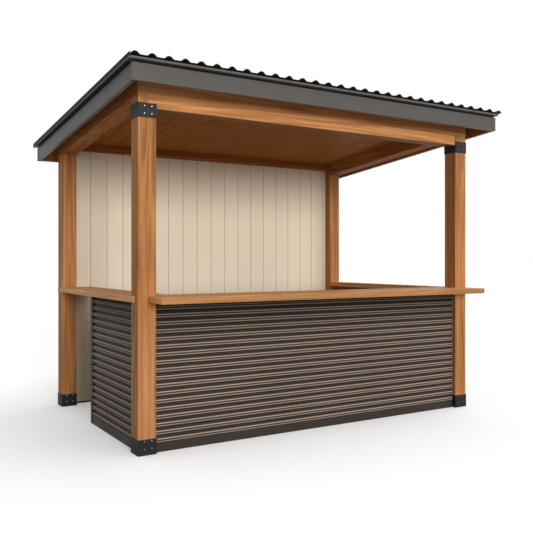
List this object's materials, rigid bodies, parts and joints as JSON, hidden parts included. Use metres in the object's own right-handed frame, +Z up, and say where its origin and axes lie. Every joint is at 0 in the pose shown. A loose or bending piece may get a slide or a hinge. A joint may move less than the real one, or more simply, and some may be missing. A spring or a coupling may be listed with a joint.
{
  "type": "wooden market stall",
  "caption": "Open timber market stall with counters on three sides, corrugated lower walls, a grooved board rear wall and a mono-pitch ribbed metal roof.",
  "frame": {"origin": "on the ground, at the middle of the bounding box of the whole stall", "axes": "+X along the serving front to the right, +Y from the front to the rear wall, +Z up"},
  "size_m": [3.7066, 2.743, 2.8351],
  "materials": {
    "post_timber": "honey-coloured planed softwood with a satin oil finish",
    "beam_timber": "honey-coloured planed softwood with a satin oil finish",
    "counter_timber": "honey-coloured planed softwood with a satin oil finish",
    "ceiling_boards": "brown stained tongue-and-groove boards",
    "framing_timber": "planed framing timber",
    "lining_boards": "dark brown stained boards",
    "painted_boards": "cream paint, eggshell",
    "black_steel": "black powder coat",
    "roof_steel": "charcoal coated ribbed sheet",
    "fascia_steel": "grey-brown coated folded steel",
    "trim_steel": "grey-brown coated folded steel",
    "cladding_steel": "umber coated corrugated steel"
  },
  "bodies": {
    "root": {"post_front_left": "post_timber", "post_front_right": "post_timber", "post_rear_left": "post_timber", "post_rear_right": "post_timber", "foot_sleeve_front_left": "black_steel", "foot_sleeve_front_right": "black_steel", "foot_sleeve_rear_left": "black_steel", "foot_sleeve_rear_right": "black_steel", "head_sleeve_left": "black_steel", "head_sleeve_right": "black_steel", "front_beam": "beam_timber", "rear_beam": "beam_timber", "left_beam": "beam_timber", "right_beam": "beam_timber", "roof_deck": "ceiling_boards", "roof_battens": "framing_timber", "roof_sheet": "roof_steel", "eaves_boards": "framing_timber", "verge_boards": "framing_timber", "fascia_front": "fascia_steel", "fascia_rear": "fascia_steel", "fascia_left": "fascia_steel", "fascia_right": "fascia_steel", "fascia_corner_trims": "fascia_steel", "drip_edge_front": "trim_steel", "drip_edge_rear": "trim_steel", "verge_cap_left": "trim_steel", "verge_trim_right": "trim_steel", "back_wall": "painted_boards", "back_wall_rails": "painted_boards", "back_wall_sill": "black_steel", "counter_front": "counter_timber", "counter_left": "counter_timber", "counter_right": "counter_timber", "wall_frame_front": "framing_timber", "wall_frame_left": "framing_timber", "wall_frame_right": "framing_timber", "cladding_front": "cladding_steel", "cladding_left": "cladding_steel", "cladding_right": "cladding_steel", "lining_front": "lining_boards", "lining_left": "lining_boards", "lining_right": "lining_boards", "base_trims": "cladding_steel", "left_end_trim": "cladding_steel"}
  },
  "joints": []
}
